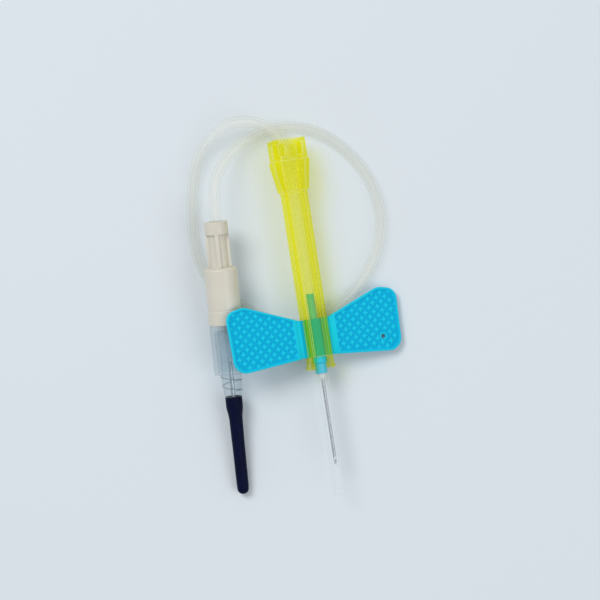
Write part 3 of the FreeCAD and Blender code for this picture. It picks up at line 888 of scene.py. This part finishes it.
# Needle side
finished(
    turned(
        "hub_body",
        [
            (0.32, -6.9), (1.2, -6.9), (1.2, -4.8), (1.45, -4.8), (1.45, -3.5), (0.95, -3.5),
            (0.95, 4.1), (0.8, 4.1), (0.8, 9.1), (0.45, 9.1), (0.45, 1.1), (0.32, 1.1),
        ],
        NEEDLE,
        radius=0.14,
    ),
    "hub",
    ["needle_hub"],
    HUB,
)
finished(
    turned(
        "adhesive_bead",
        [(0.32, -6.9), (0.85, -6.9), (0.78, -7.35), (0.58, -7.75), (0.4, -8.1), (0.32, -8.1)],
        NEEDLE,
        radius=0.12,
        segments=48,
    ),
    "hub",
    ["needle_adhesive"],
    BEAD,
)
finished(
    turned(
        "clear_needle_cover",
        [
            (1.25, -5.0), (1.5, -5.0), (1.5, -5.9), (1.46, -6.1), (1.3, -31.0, 0.3), (0.8, -31.5, 0.3),
            (0.0, -31.5), (0.0, -30.3), (0.85, -30.3), (1.0, -7.0), (1.25, -7.0),
        ],
        NEEDLE,
        radius=0.08,
        segments=64,
    ),
    "cover",
    ["needle_cover"],
    COVER,
)
# The saddle carries a low, even painted light; the roots beyond the web carry more.
SADDLE_LIGHT = 0.1
saddle = softened("saddle", "wing_saddle", width=0.16)
# The rounding attribute becomes the saddle's painted light, one value on every face.
saddle.data.attributes["edge"].name = "painted_light"
saddle.data.attributes["painted_light"].data.foreach_set("value", [SADDLE_LIGHT] * len(saddle.data.polygons))
finished(saddle, "hub", ["wing_saddle"], WING)

# Shield: stations along the needle's Y, and X and Z of its collar's four grooves
SHIELD_HEIGHT = 4.4
FLARE_START = 29.8
COLLAR_START = 36.0
COLLAR_GROWTH = 0.1
GROOVE_START = 36.85
GROOVE_END = 39.45
GROOVE_MARGIN = 0.05
GROOVE_SIDES = (1.2, 2.2)
GROOVE_MIDDLE = 1.3
WIDER_SIDE = 1.1
FLOOR_LEVELS = (2.3, 2.5)
DEEPER_FLOOR = 2.2
# Where the grooves' floors get painted shade
SHADED_SIDES = (1.1, 2.4)
SHADED_LEVELS = (2.3, 2.6)

# The shield's faces are split where the depth of its wall changes: every 0.25 mm across, every 0.5 mm along
SHIELD_CUTS = [((x / 4, 0.0, 0.0), (1.0, 0.0, 0.0)) for x in range(-13, 14)]
SHIELD_CUTS += [((0.0, 0.0, z / 4), (0.0, 0.0, 1.0)) for z in range(-11, 12)]
SHIELD_CUTS += [((0.0, 28.0 + y / 2, 0.0), (0.0, 1.0, 0.0)) for y in range(26)]


def fuller_collar(point):
    """The flare and collar grow a little towards the rear, and the collar's grooves are deeper and wider."""
    x, y, z = point
    along = GROOVE_START - GROOVE_MARGIN < y < GROOVE_END + GROOVE_MARGIN
    if along and GROOVE_SIDES[0] < abs(x) < GROOVE_SIDES[1] and abs(z) > FLOOR_LEVELS[0]:
        if abs(x) < GROOVE_MIDDLE:
            x = math.copysign(WIDER_SIDE, x)
        if abs(z) < FLOOR_LEVELS[1]:
            z = math.copysign(DEEPER_FLOOR, z)
    share = min(max((y - FLARE_START) / (COLLAR_START - FLARE_START), 0.0), 1.0)
    grow = 1.0 + COLLAR_GROWTH * share
    return Vector((x * grow, y, z * grow))


def shaded_grooves(piece, place):
    """Painted shade: the grooves' floors are given the full depth value, so they show a deeper yellow than the
    walls round them.
    """
    back = place.inverted()
    values = piece.data.attributes["depth"].data
    for face in piece.data.polygons:
        x, y, z = back @ face.center
        across = SHADED_SIDES[0] < abs(x) < SHADED_SIDES[1]
        level = SHADED_LEVELS[0] < abs(z) < SHADED_LEVELS[1]
        if GROOVE_START < y < GROOVE_END and across and level:
            values[face.index].value = 1.0


shield = softened(
    "sliding_shield",
    "needle_shield",
    width=0.1,
    place=NEEDLE,
    reshape=fuller_collar,
    cuts=SHIELD_CUTS,
)
wall_depth(shield, NEEDLE, SHIELD_HEIGHT)
shaded_grooves(shield, NEEDLE)
finished(shield, "shield", ["needle_shield"], SHIELD)

# Wings, in the needle's frame: outline, corner radii and half the thickness
WING_PLAN = [(3.7, 4.38), (14.0, 8.5), (17.8, 7.7), (17.4, -4.85), (3.7, -3.566)]
WING_CORNERS = (0.25, 2.6, 2.6, 2.6, 0.25)
LEAST_CORNER = 0.12
PLAN_SHARE = 0.48
PLAN_STEPS = 7
WING_HALF = 0.45

# A wing's loops: how far in from the edge and from the root, how high, and how much painted light they carry:
# painted highlight on the rounded edge, painted shade down into the sunk field
WING_LOOPS = [
    (0.28, 0.28, -WING_HALF, 0.5),
    (0.09, 0.09, -WING_HALF + 0.08, 0.6),
    (0.0, 0.0, -WING_HALF + 0.26, 0.8),
    (0.0, 0.0, WING_HALF - 0.26, 1.0),
    (0.07, 0.07, WING_HALF - 0.08, 0.85),
    (0.22, 0.22, WING_HALF, 0.5),
    (0.4, 0.5, WING_HALF, 0.4),
    (0.56, 0.62, WING_HALF - 0.08, 0.2),
    (0.7, 0.74, WING_HALF - 0.24, 0.0),
]
STUD_PITCH = 1.8
STUD_EDGE = 0.45
STUD_SEAT = WING_HALF - 0.26

# The hole's rings: radius and how much painted light, a painted highlight round the hole, from the field inwards
HOLE_PLACE = (13.8, -1.5)
HOLE_RADIUS = 0.5
HOLE_RINGS = ((HOLE_RADIUS + 0.3, 0.0), (HOLE_RADIUS + 0.16, 0.9), (HOLE_RADIUS, 0.9))
HOLE_STEPS = 24

# A wing's root: its X and half thickness from the saddle's web out to the wing, and its ends along Y
ROOT_PROFILE = [
    (2.2, 0.43), (2.7, 0.43), (2.95, 0.4), (3.1, 0.35), (3.25, 0.33), (3.4, 0.32), (3.55, 0.33),
    (3.7, 0.36), (3.82, 0.42), (3.95, 0.47), (4.1, 0.485), (4.25, 0.485), (4.36, 0.45), (4.4, 0.4),
]
ROOT_INSET = 0.05
ROOT_REAR = 4.1 - ROOT_INSET
ROOT_FRONT = -3.5 + ROOT_INSET
REAR_SLOPE = 0.4
FRONT_SLOPE = 0.094
ROOT_EDGE = 0.12
# Painted light on the root beyond the saddle's web.
ROOT_LIGHT = 0.75
WEB_END = 3.0


def inset(points, distances):
    """A convex outline moved inwards, each side by its own distance; side i runs from point i to the next."""
    count = len(points)
    centre = sum((Vector(point) for point in points), Vector((0.0, 0.0))) / count
    sides = []
    for i in range(count):
        start, end = Vector(points[i]), Vector(points[(i + 1) % count])
        along = (end - start).normalized()
        inward = Vector((-along.y, along.x))
        if inward.dot(centre - start) < 0:
            inward = -inward
        sides.append((start + inward * distances[i], along))
    corners = []
    for i in range(count):
        (p, u), (q, v) = sides[i - 1], sides[i]
        gap = q - p
        t = (gap.x * v.y - gap.y * v.x) / (u.x * v.y - u.y * v.x)
        corners.append(p + u * t)
    return corners


def rounded_plan(edge, root, mirrored):
    """The wing's outline, moved in by an edge distance and another one at the root."""
    corners = inset(WING_PLAN, (edge, edge, edge, edge, root))
    out = []
    for i, corner in enumerate(corners):
        radius = max(WING_CORNERS[i] - edge, LEAST_CORNER)
        before = corners[i - 1] - corner
        after = corners[(i + 1) % len(corners)] - corner
        half = before.angle(after) / 2
        reach = min(radius / math.tan(half), before.length * PLAN_SHARE, after.length * PLAN_SHARE)
        radius = reach * math.tan(half)
        before.normalize()
        after.normalize()
        centre = corner + (before + after).normalized() * (radius / math.sin(half))
        first = (corner + before * reach) - centre
        turn = first.angle_signed((corner + after * reach) - centre)
        for step in range(PLAN_STEPS + 1):
            angle = -turn * step / PLAN_STEPS
            out.append(
                centre
                + Vector(
                    (
                        first.x * math.cos(angle) - first.y * math.sin(angle),
                        first.x * math.sin(angle) + first.y * math.cos(angle),
                    )
                )
            )
    side = -1.0 if mirrored else 1.0
    return [Vector((point.x * side, point.y)) for point in out]


def wing(name, node, body, mirrored, holed):
    """A soft wing: round edges, a smooth rim, and a sunk field with its studs."""
    mesh = bmesh.new()
    painted_light = mesh.verts.layers.float.new("painted_light")
    loops = []
    for edge, root, z, light in WING_LOOPS:
        loop = [mesh.verts.new((*point, z)) for point in rounded_plan(edge, root, mirrored)]
        for vertex in loop:
            vertex[painted_light] = light
        loops.append(loop)
    count = len(loops[0])
    for first, second in zip(loops, loops[1:]):
        for i in range(count):
            j = (i + 1) % count
            mesh.faces.new((first[i], first[j], second[j], second[i]))
    ends = []
    for loop in (loops[0], loops[-1]):
        rim = [mesh.edges.get((loop[i], loop[(i + 1) % count])) for i in range(count)]
        if holed:
            for radius, light in HOLE_RINGS:
                ring = []
                for k in range(HOLE_STEPS):
                    angle = math.tau * k / HOLE_STEPS
                    x, y = HOLE_PLACE[0] + radius * math.cos(angle), HOLE_PLACE[1] + radius * math.sin(angle)
                    ring.append(mesh.verts.new((x, y, loop[0].co.z)))
                    ring[-1][painted_light] = light
                ends.append(ring)
            outer = ends[-len(HOLE_RINGS)]
            rim += [mesh.edges.new((outer[k], outer[(k + 1) % HOLE_STEPS])) for k in range(HOLE_STEPS)]
        bmesh.ops.triangle_fill(mesh, edges=rim, use_beauty=True)
    if holed:
        low, high = ends[: len(HOLE_RINGS)], ends[len(HOLE_RINGS) :]
        walk = [*low, *reversed(high)]
        for first, second in zip(walk, walk[1:]):
            for k in range(HOLE_STEPS):
                j = (k + 1) % HOLE_STEPS
                mesh.faces.new((first[k], first[j], second[j], second[k]))
    plate = from_bmesh(name, mesh, Matrix.Identity(4))

    field = bmesh.new()
    outline = rounded_plan(STUD_EDGE, STUD_EDGE, mirrored)
    field.faces.new([field.verts.new((*point, 0.0)) for point in outline])
    studs = grown(
        from_bmesh(name + "_studs", field, Matrix.Identity(4)),
        STUD_ROWS,
        {
            "Pitch": STUD_PITCH,
            "Arm": 0.88,
            "Waist": 0.52,
            "Height": 0.27,
            "Extent": 21.0,
            "Seat": STUD_SEAT,
            "Edge": STUD_EDGE - 0.04,
            "Bare Spot": (*HOLE_PLACE, 0.0),
            "Bare Radius": 0.95 if holed else 0.0,
            "Finish": WING,
        },
    )
    whole = joined([plate, studs])
    whole.data.transform(NEEDLE)
    finished(whole, body, [node], WING)


def flexible_root(name, mirrored):
    """The thin web that joins a wing to the saddle where the wing folds."""
    side = -1.0 if mirrored else 1.0
    mesh = bmesh.new()
    painted_light = mesh.verts.layers.float.new("painted_light")
    rings = []
    edge = ROOT_EDGE
    for x, half in ROOT_PROFILE:
        beyond = max(x - WEB_END, 0.0)
        rear = ROOT_REAR + beyond * REAR_SLOPE
        front = ROOT_FRONT - beyond * FRONT_SLOPE
        ring = []
        for y, z in (
            (rear - edge, half), (rear, half - edge), (rear, edge - half), (rear - edge, -half),
            (front + edge, -half), (front, edge - half), (front, half - edge), (front + edge, half),
        ):
            ring.append(mesh.verts.new((x * side, y, z)))
            ring[-1][painted_light] = ROOT_LIGHT if x > WEB_END else SADDLE_LIGHT
        rings.append(ring)
    for first, second in zip(rings, rings[1:]):
        for k in range(len(first)):
            j = (k + 1) % len(first)
            mesh.faces.new((first[k], first[j], second[j], second[k]))
    mesh.faces.new(rings[0])
    mesh.faces.new(rings[-1])
    piece = from_bmesh(name, mesh, NEEDLE, SOFT_ANGLE)
    finished(piece, None, [], WING)
    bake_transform(piece)


STUD_ROWS = stud_tree()
flexible_root("left_wing_root", mirrored=True)
flexible_root("right_wing_root", mirrored=False)
wing("left_wing_plate", "wing_left", "left_wing", mirrored=True, holed=False)
wing("right_wing_plate", "wing_right", "right_wing", mirrored=False, holed=True)

# Luer side
connector = turned(
    "ivory_connector",
    [
        (1.2, 0.0), (2.35, 0.0), (2.35, 2.6), (1.8, 2.6), (1.8, 9.2), (3.0, 9.2), (3.3, 9.6),
        (3.3, 17.6, 0.05), (3.22, 17.7, 0.05), (3.4, 17.85, 0.05), (3.4, 20.6), (2.18, 20.6), (1.98, 12.8),
        (0.5, 12.8), (0.5, 5.0), (1.2, 5.0),
    ],
    Matrix.Identity(4),
    radius=0.18,
)
FIN_SIZE = (0.8, 6.8, 0.8)
FIN_PLACE = (1.95, 5.9, 0.0)
FIN_ROUNDING = 0.12


def fins():
    """The four grip fins along the connector's stem."""
    mesh = bmesh.new()
    bmesh.ops.create_cube(mesh, size=1.0)
    bmesh.ops.scale(mesh, vec=FIN_SIZE, verts=mesh.verts)
    bmesh.ops.translate(mesh, vec=FIN_PLACE, verts=mesh.verts)
    rib = from_bmesh("grip_fins", mesh, Matrix.Identity(4))
    edges = rib.modifiers.new("edges", "BEVEL")
    edges.width = FIN_ROUNDING
    edges.segments = BEVEL_STEPS
    return grown(applied(rib), fin_tree(), {"Count": 4, "Finish": IVORY})


connector = joined([connector, fins()])
connector.data.transform(LUER)
finished(connector, "hub", ["luer_connector"], IVORY)

adapter = turned(
    "clear_luer_adapter",
    [
        (0.5, 13.65), (1.925, 13.65), (2.135, 20.65), (3.35, 20.65), (3.35, 30.55), (2.55, 30.55),
        (2.55, 22.05), (1.9, 22.05), (1.9, 30.55), (2.1, 30.55), (1.75, 35.35), (1.0, 35.35), (1.0, 37.35),
        (0.41, 37.35), (0.41, 28.35), (0.5, 28.35),
    ],
    Matrix.Identity(4),
    radius=0.12,
)
THREAD_START = 31.1
thread_base = bpy.data.objects.new("holder_thread", bpy.data.meshes.new("holder_thread"))
bpy.context.scene.collection.objects.link(thread_base)
thread = grown(
    thread_base,
    thread_tree(),
    {
        "Turns": 1.7,
        "Start Radius": 2.06,
        "End Radius": 1.82,
        "Length": 3.4,
        "Crest": 0.15,
        "Starts": 1,
        "Finish": ADAPTER,
    },
)
thread.data.transform(Matrix.Translation((0.0, THREAD_START, 0.0)))
# Painted shade on the whole thread.
painted_shade_layer = thread.data.attributes.new("painted_shade", "FLOAT", "POINT")
painted_shade_layer.data.foreach_set("value", [1.0] * len(thread.data.vertices))
adapter = joined([adapter, thread])
adapter.data.transform(LUER)
finished(adapter, "adapter", ["luer_adapter"], ADAPTER)

finished(
    turned(
        "rubber_sleeve",
        [
            (1.0, 35.35), (1.7, 35.35), (1.7, 37.6, 0.5), (1.36, 39.4, 0.9), (1.26, 46.0, 2.0),
            (1.2, 53.6, 0.9), (1.1, 54.7, 0.5), (0.6, 55.25, 0.4), (0.0, 55.25), (0.0, 53.65), (0.6, 53.65),
            (0.6, 37.35), (1.0, 37.35),
        ],
        LUER,
        radius=0.1,
        segments=64,
        steps=5,
    ),
    "adapter",
    ["stopper_sleeve"],
    RUBBER,
)

for node in ("patient_needle", "stopper_needle"):
    frame["nodes"][node].data.materials.clear()
    frame["nodes"][node].data.materials.append(STEEL)


# Floor and light
def floor():
    """The pale surface that the set lies on."""
    f = Finish("pale_floor")
    cloud = f.noise(6.0, 2.0)
    surface = f.surface(
        Base_Color=f.blend(cloud, srgb(218, 227, 234), srgb(222, 230, 237)),
        Roughness=0.7,
        Specular_IOR_Level=0.2,
    )
    mesh = bmesh.new()
    bmesh.ops.create_grid(mesh, x_segments=8, y_segments=8, size=3.0)
    piece = from_bmesh("pale_floor", mesh, Matrix.Identity(4))
    piece.data.materials.append(f.done(surface))


def lamp(name, place, size, power):
    """A round lamp that points at the part."""
    data = bpy.data.lights.new(name, "AREA")
    data.shape = "DISK"
    data.size = size
    data.energy = power
    holder = bpy.data.objects.new(name, data)
    bpy.context.scene.collection.objects.link(holder)
    toward = -Vector(place)
    holder.matrix_world = Matrix.Translation(place) @ toward.to_track_quat("-Z", "Y").to_matrix().to_4x4()


def sky(plain, seen):
    """Even light of one strength, and another one for what the camera, gloss and clear parts show of it."""
    world = bpy.data.worlds.new("soft_sky")
    bpy.context.scene.world = world
    world.use_nodes = True
    tree = Tree(world.node_tree)
    rays = [
        tree.node("ShaderNodeLightPath", out=name)
        for name in ("Is Camera Ray", "Is Glossy Ray", "Is Transmission Ray")
    ]
    strength = plain + (rays[0] + rays[1] + rays[2]).clamped() * (seen - plain)
    light = tree.node("ShaderNodeBackground", {}, {"Color": (1.0, 1.0, 1.0, 1.0), "Strength": strength})
    tree.node("ShaderNodeOutputWorld", {}, {"Surface": light})


floor()
sky(plain=0.42, seen=0.9)
lamp("key", place=(-0.35, 0.45, 0.8), size=0.5, power=4.6)
lamp("fill", place=(0.5, -0.3, 0.7), size=0.6, power=2.0)
bpy.context.scene.view_settings.view_transform = "Standard"
bpy.context.scene.cycles.transparent_max_bounces = 24
